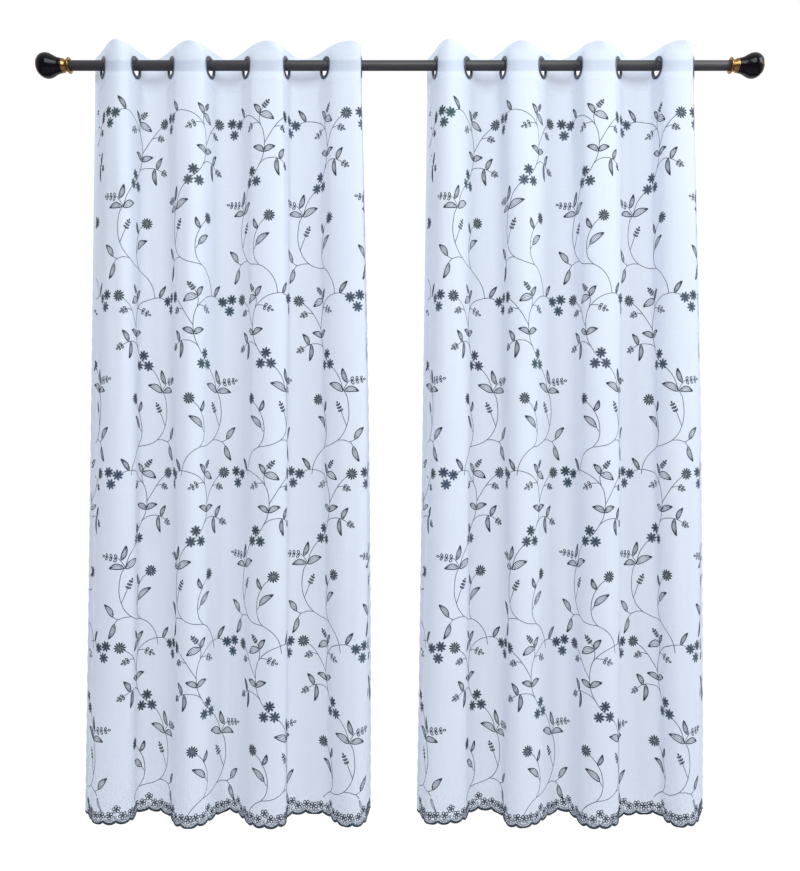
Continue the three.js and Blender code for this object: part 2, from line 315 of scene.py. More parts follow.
rodLook = {
    "light": (0.062, 0.058, 0.060, 1), "dark": (0.042, 0.040, 0.042, 1),
    "metallic": 0.2, "roughness": (0.4, 0.55), "specular": 0.4,
}
eyeletLook = {
    "light": (0.10, 0.11, 0.14, 1), "dark": (0.06, 0.066, 0.085, 1),
    "metallic": 0.7, "roughness": (0.3, 0.45), "specular": 0.5,
}
bulbLook = {
    "light": (0.004, 0.004, 0.005, 1), "dark": (0.002, 0.002, 0.003, 1),
    "metallic": 0.0, "roughness": (0.15, 0.22), "specular": 0.18,
}
goldLook = {
    "light": (0.48, 0.27, 0.09, 1), "dark": (0.14, 0.07, 0.025, 1),
    "metallic": 1.0, "roughness": (0.2, 0.34), "specular": 0.5,
}
finishes = {
    "voile": clothFinish("sheerVoile", voileLook),
    "heading": clothFinish("doubledHeading", headingLook),
    "thread": threadFinish(),
    "rod": hardFinish("charcoalRod", rodLook),
    "eyelet": hardFinish("slateEyelet", eyeletLook),
    "bulb": hardFinish("blackBulb", bulbLook),
    "gold": hardFinish("agedGold", goldLook),
}
print("finishes:", ", ".join(finishes))


def makeActive(piece):
    bpy.ops.object.select_all(action="DESELECT")
    piece.select_set(True)
    bpy.context.view_layer.objects.active = piece


def applyTo(piece, modifier):
    makeActive(piece)
    bpy.ops.object.modifier_apply(modifier=modifier.name)


def declare(piece, slot, *nodes):
    if not piece.data.materials:
        piece.data.materials.append(finishes[slot])
    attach(piece, "root")
    if nodes:
        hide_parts(*nodes)
    return piece


# Turned pieces: a ring of edges is drawn out along X and resized station by station
def turnPiece(name, stations, sides, closed=False):
    reach, radius = stations[0]
    bpy.ops.mesh.primitive_circle_add(
        vertices=sides, radius=radius, location=(reach, 0, 0), rotation=(0, math.radians(90), 0)
    )
    piece = bpy.context.object
    piece.name = name
    bpy.ops.object.transform_apply(location=True, rotation=True, scale=True)
    bpy.ops.object.mode_set(mode="EDIT")
    bpy.ops.mesh.select_mode(type="EDGE")
    bpy.ops.mesh.select_all(action="SELECT")
    for nextReach, nextRadius in stations[1:]:
        bpy.ops.mesh.extrude_region_move(TRANSFORM_OT_translate={"value": (nextReach - reach, 0, 0)})
        share = nextRadius / radius
        bpy.ops.transform.resize(value=(1, share, share), center_override=(nextReach, 0, 0))
        reach, radius = nextReach, nextRadius
    bpy.ops.mesh.select_all(action="DESELECT")
    bpy.ops.mesh.select_non_manifold()
    if closed:
        bpy.ops.mesh.bridge_edge_loops()
    else:
        bpy.ops.mesh.fill_holes(sides=0)
    bpy.ops.mesh.select_all(action="SELECT")
    bpy.ops.mesh.normals_make_consistent(inside=False)
    bpy.ops.object.mode_set(mode="OBJECT")
    return piece


shading = {"bevelSegments": 2, "bevelOver": 25, "turnedUpTo": 35, "clothUpTo": 50}  # angles in degrees


def soften(piece, width):
    bevel = piece.modifiers.new("softEdges", "BEVEL")
    bevel.width = width
    bevel.segments = shading["bevelSegments"]
    bevel.angle_limit = math.radians(shading["bevelOver"])
    applyTo(piece, bevel)
    bpy.ops.object.shade_smooth_by_angle(angle=math.radians(shading["turnedUpTo"]))
    return piece


def placedCopy(piece, name, place):
    copy = bpy.data.objects.new(name, piece.data.copy())
    bpy.context.scene.collection.objects.link(copy)
    copy.data.transform(place)
    copy.data.update()
    return copy


def runAlong(points):
    return np.concatenate([[0], np.cumsum(np.linalg.norm(np.diff(points, axis=0), axis=1))])


def curved(stations, steps):
    knots = np.array(stations)
    run = runAlong(knots)
    slopes = np.gradient(knots, run, axis=0)
    found = []
    for at in np.linspace(0, run[-1], steps):
        k = min(np.searchsorted(run, at, side="right") - 1, len(run) - 2)
        span = run[k + 1] - run[k]
        t = (at - run[k]) / span
        low = knots[k] * (1 + 2 * t) * (1 - t) ** 2 + slopes[k] * span * t * (1 - t) ** 2
        high = knots[k + 1] * t * t * (3 - 2 * t) + slopes[k + 1] * span * t * t * (t - 1)
        found.append(tuple(low + high))
    return found


# Rod: a hollow tube, its open ends inside the finials' collars
def buildRod():
    length = 2 * (rodSize["halfVisible"] + rodSize["socket"])
    bore = rodSize["radius"] - rodSize["wall"]
    stations = [
        (-length / 2, rodSize["radius"]),
        (length / 2, rodSize["radius"]),
        (length / 2, bore),
        (-length / 2, bore),
    ]
    return soften(turnPiece("rodTube", stations, rodSize["sides"], closed=True), rodSize["rounding"])


declare(buildRod(), "rod", "rod")

# Finials, in millimetres out from the end of the visible rod: reach and radius
finial = {
    "collar": [
        (15.3, 14.3), (0, 14.3), (0, 20.6), (1.8, 22), (3.8, 21.2), (8.4, 16), (12.6, 16),
        (18, 19), (20, 19.8), (22.6, 19.4),
    ],
    "bulb": [
        (22.9, 19.6), (27, 20.4), (33, 21.6), (40, 24.6), (48, 29), (56, 32.6), (63, 34), (70, 33.6),
        (77, 31.4), (83, 27.4),
    ],
    "cap": [(83.3, 24.4), (85.2, 24.4), (88, 22), (91, 15), (92.6, 1.5)],
    "sides": 56,
    "bulbSteps": 30,
    "capSteps": 9,
    "slots": {"collar": "gold", "bulb": "bulb", "cap": "gold"},
    "rounding": {"collar": 0.0009, "bulb": 0.0006, "cap": 0.0006},  # metres
}


def finialStations(part):
    rows = [(reach / 1000 + rodSize["halfVisible"], radius / 1000) for reach, radius in finial[part]]
    if part == "bulb":
        return curved(rows, finial["bulbSteps"])
    if part == "cap":
        return rows[:1] + curved(rows[1:], finial["capSteps"])
    return rows


for part, slot in finial["slots"].items():
    name = "finial" + part.title()
    model = soften(turnPiece(name, finialStations(part), finial["sides"]), finial["rounding"][part])
    for side, turn in (("Right", 0), ("Left", math.pi)):
        copy = placedCopy(model, name + side, Matrix.Rotation(turn, 4, "Z"))
        declare(copy, slot, "finial_" + side.lower() + "_" + part)
    bpy.data.objects.remove(model)
print("rod and finials ready")


# How the cloth hangs: each eyelet's line from heading to hem, and which way the cloth goes through it
folds = {
    "xTop": np.array([-0.355, -0.265, -0.166, -0.059, 0.042, 0.152, 0.260, 0.359]),
    "angleTop": np.array([67, 71, 67, 67, 68, 68, 68, 80]),
    "bow": np.array([0.005, 0.003, 0.005, -0.002, 0.004, 0.003, -0.004, 0.007]),
    "xHem": np.array([-0.390, -0.270, -0.165, -0.056, 0.041, 0.152, 0.277, 0.377]),
    "angleHem": np.array([66, 82, 76, 60, 66, 82, 74, 74]),
    "yHem": np.array([0.002, 0.016, 0.0, 0.0, -0.012, -0.003, 0.008, 0.010]),
    "straightTop": 0.064,
    "straightHem": 0.024,
    "leftCurl": (58, 6),
    "rightCurl": (-6, -10),
    "columns": 611,
    "rows": 214,
    "curveSteps": 49,
    "lengthTries": 24,
    "leastHandle": 0.001,
}
# Above the eyelets the heading's edge relaxes into rounder folds
relaxed = {
    "over": 0.021, "angle": np.array([4, 9, 9, 9, 9, 9, 9, 0]), "straight": 0.024, "curl": 0.25,
}
curveShare = np.linspace(0, 1, folds["curveSteps"])[:, None]


def blendTo(first, last, share):
    return first + (last - first) * share


def eyeletLines(centre, level, ease=0.0):
    lean = centre / photo["distance"]  # both panels show the camera the same side of their folds
    eased = 1 - (1 - level) ** 2
    angle = np.radians(blendTo(folds["angleTop"], folds["angleHem"], eased) - relaxed["angle"] * ease)
    across = np.sin(angle) * np.tile([-1, 1], eyeletPlan["count"] // 2)
    y = folds["yHem"] * level
    x = blendTo(folds["xTop"], folds["xHem"], level) + 4 * folds["bow"] * level * (1 - level) + lean * y
    along = np.stack([np.cos(angle) + lean * across, across], 1)
    along /= np.linalg.norm(along, axis=1)[:, None]
    half = blendTo(blendTo(folds["straightTop"], folds["straightHem"], eased), relaxed["straight"], ease) / 2
    return np.stack([x, y], 1), along, half


def foldSpan(start, startWay, end, endWay, length):
    t = curveShare
    low, high = folds["leastHandle"], length
    for _ in range(folds["lengthTries"]):
        handle = (low + high) / 2
        points = (
            (1 - t) ** 3 * start
            + 3 * (1 - t) ** 2 * t * (start + startWay * handle)
            + 3 * (1 - t) * t**2 * (end - endWay * handle)
            + t**3 * end
        )
        if runAlong(points)[-1] < length:
            low = handle
        else:
            high = handle
    return points


def sideEdge(start, way, curl, length):
    t = curveShare
    turn = math.radians(curl)
    turned = np.array(
        [
            way[0] * math.cos(turn) - way[1] * math.sin(turn),
            way[0] * math.sin(turn) + way[1] * math.cos(turn),
        ]
    )
    middle = start + way * length / 2
    return (1 - t) ** 2 * start + 2 * (1 - t) * t * middle + t**2 * (middle + turned * length / 2)


def foldCourse(centre, drop, flat):
    level = min(max((drop - voileTop) / (cuspDrop - voileTop), 0), 1)
    ease = max(1 - drop / relaxed["over"], 0) ** 2
    at, along, half = eyeletLines(centre, level, ease)
    outer = eyeletLines(centre, level)[2]  # the side edges stay as straight as they are at the eyelets
    margin = eyeletPlan["fromSide"] - outer
    before = [outer] + [half] * (eyeletPlan["count"] - 1)
    after = before[::-1]
    flats, points = [], []

    def add(line, begin, length):
        run = runAlong(line)
        flats.append(begin + run / run[-1] * length)
        points.append(line)

    curl = blendTo(*folds["leftCurl"], level) * blendTo(1, relaxed["curl"], ease)
    line = sideEdge(at[0] - along[0] * outer, -along[0], curl, margin)
    add(line[::-1], 0, margin)
    for i in range(eyeletPlan["count"]):
        middle = eyeletPlan["fromSide"] + i * eyeletPitch
        straight = np.array([at[i] - along[i] * before[i], at[i] + along[i] * after[i]])
        add(straight, middle - before[i], before[i] + after[i])
        if i + 1 < eyeletPlan["count"]:
            length = eyeletPitch - 2 * half
            line = foldSpan(
                at[i] + along[i] * half, along[i], at[i + 1] - along[i + 1] * half, along[i + 1], length
            )
            add(line, middle + half, length)
    line = sideEdge(at[-1] + along[-1] * outer, along[-1], blendTo(*folds["rightCurl"], level), margin)
    add(line, cloth["width"] - margin, margin)
    flats, points = np.concatenate(flats), np.concatenate(points)
    return np.interp(flat, flats, points[:, 0]) + centre, np.interp(flat, flats, points[:, 1])


# Soft troughs and ridges in the voile: place across, place down, half width, half length, depth, slant
creases = [
    (0.128, 0.62, 0.018, 0.34, -0.0035, 0.02),
    (0.190, 1.35, 0.022, 0.48, 0.0040, -0.03),
    (0.296, 0.80, 0.016, 0.40, 0.0030, 0.01),
    (0.382, 1.52, 0.024, 0.42, -0.0045, 0.03),
    (0.456, 0.55, 0.015, 0.30, 0.0030, -0.02),
    (0.531, 1.20, 0.020, 0.52, -0.0040, 0.02),
    (0.615, 1.74, 0.022, 0.30, 0.0045, -0.02),
    (0.686, 0.72, 0.017, 0.36, -0.0035, 0.03),
    (0.773, 1.44, 0.024, 0.46, 0.0040, 0.01),
    (0.844, 0.60, 0.015, 0.32, 0.0030, -0.03),
    (0.930, 1.62, 0.022, 0.38, -0.0040, 0.02),
    (1.008, 0.95, 0.018, 0.44, 0.0035, 0.01),
    (1.087, 1.50, 0.020, 0.44, -0.0035, -0.02),
    (1.153, 1.05, 0.014, 0.60, 0.0030, 0.01),
]
# Small waves along the side hems, and how the relief dies out towards heading and hem
pucker = {
    "pitch": 0.047, "depth": 0.0011, "reach": 0.024, "from": 0.42, "growOver": 0.3,
    "wander": 1.7, "wanderRate": 9.0,
}
reliefFade = {"belowHeading": 0.12, "aboveHem": 0.06, "leastAtHem": 0.3}


def softRelief(across, down):
    lift = np.zeros(np.broadcast(across, down).shape)
    for place, middle, halfWidth, halfLength, depth, slant in creases:
        sideways = (across - place - slant * (down - middle)) / halfWidth
        lengthways = (down - middle) / halfLength
        lift = lift + depth * np.exp(-sideways**2) * np.exp(-(lengthways**4))
    edge = np.minimum(across, cloth["width"] - across) / pucker["reach"]
    drift = pucker["wander"] * np.sin(down * pucker["wanderRate"])
    wave = np.sin(2 * np.pi * down / pucker["pitch"] + drift)
    grown = np.clip((down - pucker["from"]) / pucker["growOver"], 0, 1)
    lift = lift + pucker["depth"] * wave * np.exp(-(edge**2)) * grown
    fromTop = np.clip((down - voileTop) / reliefFade["belowHeading"], 0, 1)
    fromHem = (cloth["drop"] - down) / reliefFade["aboveHem"]
    return lift * fromTop * np.clip(fromHem, reliefFade["leastAtHem"], 1)


def facingFront(points):
    front = np.cross(np.gradient(points, axis=0), np.gradient(points, axis=1))
    return front / np.linalg.norm(front, axis=2)[:, :, None]


def hangPanel(centre):
    across = np.linspace(0, cloth["width"], folds["columns"])
    down = np.linspace(0, cloth["drop"], folds["rows"])
    points = np.zeros((folds["rows"], folds["columns"], 3))
    for k, drop in enumerate(down):
        points[k, :, 0], points[k, :, 1] = foldCourse(centre, drop, across)
        points[k, :, 2] = headingTop - drop
    points += facingFront(points) * softRelief(across[None, :], down[:, None])[:, :, None]
    return {"points": points, "front": facingFront(points)}


def onCloth(panel, across, down, lift):
    column = np.clip(across / cloth["width"] * (folds["columns"] - 1), 0, folds["columns"] - 1.001)
    row = np.clip(down / cloth["drop"] * (folds["rows"] - 1), 0, folds["rows"] - 1.001)
    c, r = column.astype(int), row.astype(int)
    u, v = (column - c)[..., None], (row - r)[..., None]

    def between(grid):
        upper = grid[r, c] * (1 - u) + grid[r, c + 1] * u
        lower = grid[r + 1, c] * (1 - u) + grid[r + 1, c + 1] * u
        return upper * (1 - v) + lower * v

    front = between(panel["front"])
    front /= np.linalg.norm(front, axis=-1)[..., None]
    return between(panel["points"]) + front * np.asarray(lift)[..., None]


panels = {side: hangPanel(centre) for side, centre in panelCentre.items()}
print("folds hung:", folds["rows"], "rows of", folds["columns"])


# Scallops of the hem: two narrow ones and a wide one, over and over
repeatWidth = sum(scallop["widths"])
repeatCount = math.ceil((cloth["width"] - scallop["start"]) / repeatWidth)
cusps = scallop["start"] + np.concatenate([[0], np.cumsum(np.tile(scallop["widths"], repeatCount))])


def hemDrop(across):
    k = np.searchsorted(cusps, across, side="right") - 1
    width = cusps[k + 1] - cusps[k]
    share = (across - cusps[k]) / width
    return cuspDrop + scallop["depthShare"] * width * np.sin(np.pi * share) ** scallop["fullness"]


def meshPiece(name, points, faces, uvName, uv):
    mesh = bpy.data.meshes.new(name)
    mesh.from_pydata(points.tolist(), [], faces.tolist())
    corners = np.zeros(len(mesh.loops), dtype=np.int32)
    mesh.loops.foreach_get("vertex_index", corners)
    layer = mesh.uv_layers.new(name=uvName)
    layer.data.foreach_set("uv", uv[corners].astype(np.float32).ravel())
    mesh.polygons.foreach_set("use_smooth", np.ones(len(mesh.polygons), dtype=bool))
    mesh.update()
    piece = bpy.data.objects.new(name, mesh)
    bpy.context.scene.collection.objects.link(piece)
    return piece


def gridFaces(rows, columns):
    first = (np.arange(rows - 1)[:, None] * columns + np.arange(columns - 1)).ravel()
    return np.stack([first, first + columns, first + columns + 1, first + 1], 1)


def thicken(piece, thickness):
    wall = piece.modifiers.new("clothThickness", "SOLIDIFY")
    wall.thickness = thickness
    wall.offset = 0
    applyTo(piece, wall)


def smoothFaces(piece):
    makeActive(piece)
    bpy.ops.object.shade_smooth_by_angle(angle=math.radians(shading["clothUpTo"]))  # thin rims stay crisp


def sheetPiece(name, panel, across, down, thickness):
    points = onCloth(panel, across, down, np.zeros(across.shape)).reshape(-1, 3)
    uv = np.stack([across, down], -1).reshape(-1, 2)
    piece = meshPiece(name, points, gridFaces(*across.shape), "flat", uv)
    thicken(piece, thickness)
    smoothFaces(piece)
    return piece


voile = {"columnsPerScallop": 9, "rows": 144, "thickness": 0.0003, "clearOfEdge": 0.001}


def voileColumns():
    steps = np.arange(voile["columnsPerScallop"]) / voile["columnsPerScallop"]
    inner = (cusps[:-1, None] + np.diff(cusps)[:, None] * steps).ravel()
    clear = voile["clearOfEdge"]
    inner = inner[(inner > clear) & (inner < cloth["width"] - clear)]
    return np.concatenate([[0], inner, [cloth["width"]]])


def buildVoile(side):
    across = voileColumns()
    share = np.linspace(0, 1, voile["rows"])[:, None]
    down = voileTop + (hemDrop(across)[None, :] - voileTop) * share
    across = np.broadcast_to(across, down.shape)
    return sheetPiece("voile" + side.title(), panels[side], across, down, voile["thickness"])


# Heading: a doubled strip with a hole cut for each eyelet, and two rows of top-stitching
heading = {"columns": 306, "rows": 21, "thickness": 0.0008, "holeSides": 40, "punchDepth": 0.02}
stitching = {
    "rows": (0.004, 0.0945), "from": 0.004, "endGap": 0.006, "length": 0.0030, "pitch": 0.0042,
    "halfWidths": np.array([0.00015, 0.00025, 0.00015]), "rise": 0.0003,
}


def eyeletPlace(side, i):
    at, along, _ = eyeletLines(panelCentre[side], 0)
    way = Vector((along[i][0], along[i][1], 0))
    normal = Vector((way.y, -way.x, 0))  # the eyelet's axis, at right angles to its cloth
    up = Vector((0, 0, 1))
    turn = Matrix((normal, up.cross(normal), up)).transposed().to_4x4()
    spot = Vector((at[i][0] + panelCentre[side], at[i][1], eyeletHeight))
    return Matrix.Translation(spot) @ turn


def buildHeading(side):
    across = np.linspace(0, cloth["width"], heading["columns"])[None, :]
    down = np.linspace(0, cloth["headingHeight"], heading["rows"])[:, None]
    shape = (heading["rows"], heading["columns"])
    across, down = np.broadcast_to(across, shape), np.broadcast_to(down, shape)
    piece = sheetPiece("heading" + side.title(), panels[side], across, down, heading["thickness"])
    for i in range(eyeletPlan["count"]):
        bpy.ops.mesh.primitive_cylinder_add(
            vertices=heading["holeSides"],
            radius=eyeletPlan["hole"],
            depth=heading["punchDepth"],
            rotation=(0, math.pi / 2, 0),
        )
        punch = bpy.context.object
        bpy.ops.object.transform_apply(location=True, rotation=True, scale=True)
        punch.data.transform(eyeletPlace(side, i))
        cut = piece.modifiers.new("eyeletHole", "BOOLEAN")
        cut.operation = "DIFFERENCE"
        cut.object = punch
        applyTo(piece, cut)
        bpy.data.objects.remove(punch)
    smoothFaces(piece)
    return piece


# Thread work: lens-shaped ribbons in the flat of the cloth, gathered here and then laid on a panel
class ThreadWork:
    def __init__(self):
        self.flat, self.lift, self.uv, self.dye, self.owner, self.faces = [], [], [], [], [], []
        self.count = 0
        self.ribbons = 0

    def ribbon(self, route, halfWidth, rise, dye, loop=False):
        route = np.asarray(route, dtype=float)
        rings = len(route)
        if loop:
            way = np.roll(route, -1, axis=0) - np.roll(route, 1, axis=0)
        else:
            way = np.gradient(route, axis=0)
        way /= np.linalg.norm(way, axis=1)[:, None] + 1e-9
        sideways = np.stack([-way[:, 1], way[:, 0]], 1) * np.broadcast_to(halfWidth, rings)[:, None]
        run = runAlong(route)
        flat = np.stack([route + sideways, route, route - sideways, route], 1)
        edge = min(stitch["edgeShare"] * rise, stitch["edgeLift"])
        lift = np.tile([edge, rise, edge, -stitch["underside"] * rise], (rings, 1))
        uv = np.stack([np.tile(run[:, None], (1, 4)), np.tile([1.0, 0, -1.0, 0], (rings, 1))], 2)
        ring = np.arange(rings if loop else rings - 1)[:, None] * 4 + self.count
        after = ring + 4
        if loop:
            after = (ring + 4 - self.count) % (4 * rings) + self.count
        corner, nextCorner = np.arange(4), (np.arange(4) + 1) % 4
        sides = np.stack([ring + corner, after + corner, after + nextCorner, ring + nextCorner], 2)
        self.faces.append(sides.reshape(-1, 4))
        if not loop:
            ends = np.array([[0, 1, 2, 3], [3, 2, 1, 0]]) + self.count
            ends[1] += 4 * (rings - 1)
            self.faces.append(ends)
        self.flat.append(flat.reshape(-1, 2))
        self.lift.append(lift.ravel())
        self.uv.append(uv.reshape(-1, 2))
        self.dye.append(np.tile(dye, (4 * rings, 1)))
        self.owner.append(np.full(4 * rings, self.ribbons))
        self.count += 4 * rings
        self.ribbons += 1

    def gathered(self):
        parts = (self.flat, self.lift, self.uv, self.dye, self.owner, self.faces)
        return [np.concatenate(part) for part in parts]


def smoothRoute(knots, step):
    knots = np.array(knots, dtype=float)
    run = runAlong(knots)
    count = max(int(math.ceil(run[-1] / step)) + 1, 3)
    if len(knots) == 2:
        return blendTo(knots[:1], knots[1:], np.linspace(0, 1, count)[:, None])
    return np.array(curved(knots, count))


def threadPiece(name, panel, flat, lift, uv, dye, faces, uvName="stitch"):
    points = onCloth(panel, flat[:, 0], flat[:, 1], lift)
    piece = meshPiece(name, points, faces, uvName, uv)
    colour = piece.data.attributes.new("dye", "FLOAT_COLOR", "POINT")
    full = np.concatenate([dye, np.ones((len(dye), 1))], 1)
    colour.data.foreach_set("color", full.astype(np.float32).ravel())
    return piece


# Colours of the thread, from slate to teal and blue
dyes = {
    "slate": np.array([0.034, 0.050, 0.075]),
    "stem": np.array([0.070, 0.090, 0.122]),
    "petal": np.array([0.092, 0.130, 0.172]),
    "teal": np.array([0.030, 0.062, 0.076]),
    "blue": np.array([0.030, 0.053, 0.078]),
    "pale": np.array([0.100, 0.132, 0.172]),
    "cord": np.array([0.036, 0.060, 0.080]),
    "white": np.array([0.92, 0.94, 0.97]),
}

# One repeat of the sprigs, charted in millimetres across and down from the pair of leaves
sprig = {
    "repeat": 254,
    "columns": (-1, 5),
    # first pair of leaves across, its drop, its hand
    "rows": [(252, 296, 1), (214, 793, -1), (261, 1277, 1), (224, 1752, -1)],
    "clearOfSide": 0.006,  # metres, as the next two
    "clearOfHeading": 0.004,
    "clearOfHem": 0.030,
    "hueDrift": (0.88, 1.12),
    "shadeDrift": (0.9, 1.12),
    "stems": [
        [
            (-112, -104), (-88, -113), (-62, -110), (-45, -104), (-30, -95), (-15, -81), (-6, -68),
            (0, -48), (2, -23), (0, 0),
        ],
        [(-9, -74), (-12, -88), (-11, -104), (-3, -119)],
        [(-15, -80), (-31, -79)],
        [(2, -23), (16, -46), (26, -62), (37, -77), (52, -92), (66, -101)],
        [(29, -67), (45, -71)],
        [(0, 0), (-4, 15), (-13, 33), (-26, 54), (-42, 70), (-66, 91), (-84, 116), (-96, 151)],
        [(-13, 33), (-4, 25), (8, 19), (21, 17), (33, 17), (43, 20), (56, 27)],
        [
            (-96, 151), (-105, 166), (-110, 191), (-111, 222), (-105, 249), (-94, 272), (-79, 288),
            (-56, 300), (-17, 307),
        ],
        [(-17, 307), (-2, 315), (11, 326), (23, 342), (31, 361), (35, 384)],
        [(-96, 151), (-103, 139), (-112, 127)],
        [(-105, 249), (-101, 240), (-96, 226), (-91, 213)],
        [(-17, 307), (-30, 290), (-34, 276), (-35, 253), (-30, 228), (-21, 209), (-10, 193), (4, 181)],
        [(-33, 265), (-26, 253)],
        [(-79, 288), (-98, 288), (-114, 293), (-127, 286)],
        [(-114, 293), (-123, 305)],
    ],
    # base, tip, width, bend
    "leaves": [
        ((-88, -113), (-109, -145), 11, 2),
        ((-11, -104), (-28, -131), 13, 3),
        ((-11, -104), (28, -88), 18, -4),
        ((0, 0), (-31, -15), 14, 4),
        ((0, 0), (31, -14), 14, -4),
        ((43, 20), (60, -11), 12, -3),
        ((36, 18), (41, 65), 11, 4),
        ((-106, 131), (-94, 92), 12, 2),
        ((-99, 153), (-139, 154), 15, 5),
        ((-95, 155), (-53, 133), 17, -5),
        ((-20, 209), (-33, 180), 11, -3),
        ((-26, 253), (13, 222), 15, -4),
        ((-127, 286), (-153, 253), 14, 3),
        ((-123, 305), (-139, 346), 13, -3),
    ],
    "stars": [(-144, -108), (-117, -101), (-137, -76), (-40, 50), (-24, 79), (-54, 79)],
    "daisies": [(71, -104), (13, 174)],
    # base, tip, pairs of leaflets, leaflet length
    "ferns": [
        ((-3, -119), (13, -137), 3, 8.5),
        ((-31, -79), (-55, -67), 2, 11.0),
        ((45, -71), (62, -62), 2, 10.0),
        ((56, 27), (72, 38), 2, 10.0),
        ((-91, 213), (-79, 187), 3, 8.5),
        ((-112, 127), (-154, 121), 3, 12.0),
    ],
}
# Stitches, in millimetres: half widths run from a petal's or a leaf tip's inner end to its outer end
stitch = {
    "stemHalf": 0.85, "stemRise": 0.7, "stemStep": 7.0, "stemPiece": 26.0,
    "leafEdgeHalf": 1.3, "leafFillHalf": 0.65, "leafSteps": 9, "leafFills": (-0.48, 0.0, 0.48),
    "leafSwell": 0.85, "leafRound": 0.8, "leafTip": np.array([1.2, 2.0, 0.7]),
    "starInner": 2.0, "starReach": 15.0, "starPetals": 8, "starHalf": (1.0, 2.2, 3.1, 2.9, 1.3),
    "starTurn": 0.25, "starTurnStep": 0.4, "starShades": (0.85, 1.0, 1.15),
    "starKnot": [[-2, 0], [0, 0], [2, 0]], "starKnotHalf": (1.0, 2.2, 1.0),
    "daisyInner": 3.4, "daisyReach": 16.5, "daisyPetals": 12, "daisyHalf": (0.9, 1.5, 2.3, 2.2, 0.9),
    "daisyTurn": 0.1, "daisyHeart": 1.9, "daisyHeartHalf": 1.0, "daisyHeartSteps": 9,
    "leafletHalf": 1.2, "leafletWidth": 0.72, "leafletLeast": 0.4, "leafletSlant": 58, "leafletSteps": 8,
    "pairFirst": 0.45, "pairSpare": 0.2, "pairShrink": 0.06, "pairReach": 0.58,
    "endReach": 0.3, "endSize": 0.85,
    "rise": 0.75, "fillRise": 0.6, "tipRise": 0.9, "knotRise": 0.975,
    "edgeShare": 0.5, "edgeLift": 0.40, "underside": 0.8,
}


def stemStitches(work, knots):
    line = smoothRoute(knots, stitch["stemStep"])
    per = int(stitch["stemPiece"] / stitch["stemStep"])
    for first in range(0, len(line) - 1, per):
        part = line[first : first + per + 1]
        if len(part) > 1:
            work.ribbon(part, stitch["stemHalf"], stitch["stemRise"], dyes["stem"])


def leafStitches(work, base, tip, width, bend, dye):
    base, tip = np.array(base, dtype=float), np.array(tip, dtype=float)
    way = (tip - base) / np.linalg.norm(tip - base)
    side = np.array([-way[1], way[0]])
    t = np.linspace(0, 1, stitch["leafSteps"])[:, None]
    middle = base + (tip - base) * t + side * bend * 4 * t * (1 - t)
    half = width / 2 * np.sin(np.pi * t ** stitch["leafSwell"]) ** stitch["leafRound"]
    for edge in (-1, 1):
        work.ribbon(middle + side * half * edge, stitch["leafEdgeHalf"], stitch["rise"], dye)
    for share in stitch["leafFills"]:
        line = (middle + side * half * share)[1:-2]
        work.ribbon(line, stitch["leafFillHalf"], stitch["fillRise"], dyes["stem"])
    work.ribbon(middle[-3:], stitch["leafTip"], stitch["tipRise"], dye)


def petalRing(work, kind, centre, turn, dye):
    centre = np.array(centre, dtype=float)
    petals, halfWidths = stitch[kind + "Petals"], np.array(stitch[kind + "Half"])
    reach = np.linspace(stitch[kind + "Inner"], stitch[kind + "Reach"], len(halfWidths))[:, None]
    for k in range(petals):
        angle = turn + 2 * math.pi * k / petals
        way = np.array([[math.cos(angle), math.sin(angle)]])
        work.ribbon(centre + way * reach, halfWidths, stitch["rise"], dye)


def loopRoute(centre, long, wide, angle, steps):
    turn = np.linspace(0, 2 * np.pi, steps, endpoint=False)
    x, y = long * np.cos(turn), wide * np.sin(turn)
    c, s = math.cos(angle), math.sin(angle)
    return np.array(centre, dtype=float) + np.stack([x * c - y * s, x * s + y * c], 1)


def starStitches(work, centre, turn, dye):
    petalRing(work, "star", centre, turn, dye)
    work.ribbon(np.add(centre, stitch["starKnot"]), stitch["starKnotHalf"], stitch["knotRise"], dyes["stem"])


def daisyStitches(work, centre, turn, dye):
    petalRing(work, "daisy", centre, turn, dye)
    heart = loopRoute(centre, stitch["daisyHeart"], stitch["daisyHeart"], 0, stitch["daisyHeartSteps"])
    work.ribbon(heart, stitch["daisyHeartHalf"], stitch["knotRise"], dyes["slate"], loop=True)


def leafletStitches(work, centre, angle, length, dye):
    half = stitch["leafletHalf"]
    long, wide = length / 2 - half, length / 2 * stitch["leafletWidth"] - half
    route = loopRoute(centre, long, max(wide, stitch["leafletLeast"]), angle, stitch["leafletSteps"])
    work.ribbon(route, half, stitch["rise"], dye, loop=True)


def fernStitches(work, base, tip, pairs, length, dye):
    base, tip = np.array(base, dtype=float), np.array(tip, dtype=float)
    facing = math.atan2(tip[1] - base[1], tip[0] - base[0])
    stalk = smoothRoute([base, tip], stitch["stemStep"])
    work.ribbon(stalk, stitch["stemHalf"], stitch["stemRise"], dyes["stem"])
    for k in range(pairs):
        at = blendTo(base, tip, (k + stitch["pairFirst"]) / (pairs + stitch["pairSpare"]))
        size = length * (1 - stitch["pairShrink"] * k)
        for edge in (-1, 1):
            angle = facing + edge * math.radians(stitch["leafletSlant"])
            reach = stitch["pairReach"] * size * np.array([math.cos(angle), math.sin(angle)])
            leafletStitches(work, at + reach, angle, size, dye)
    ahead = stitch["endReach"] * length * np.array([math.cos(facing), math.sin(facing)])
    leafletStitches(work, tip + ahead, facing, length * stitch["endSize"], dye)


def chartVines():
    work = ThreadWork()
    for knots in sprig["stems"]:
        stemStitches(work, knots)
    for base, tip, width, bend in sprig["leaves"]:
        leafStitches(work, base, tip, width, bend, dyes["slate"])
    return work.gathered()


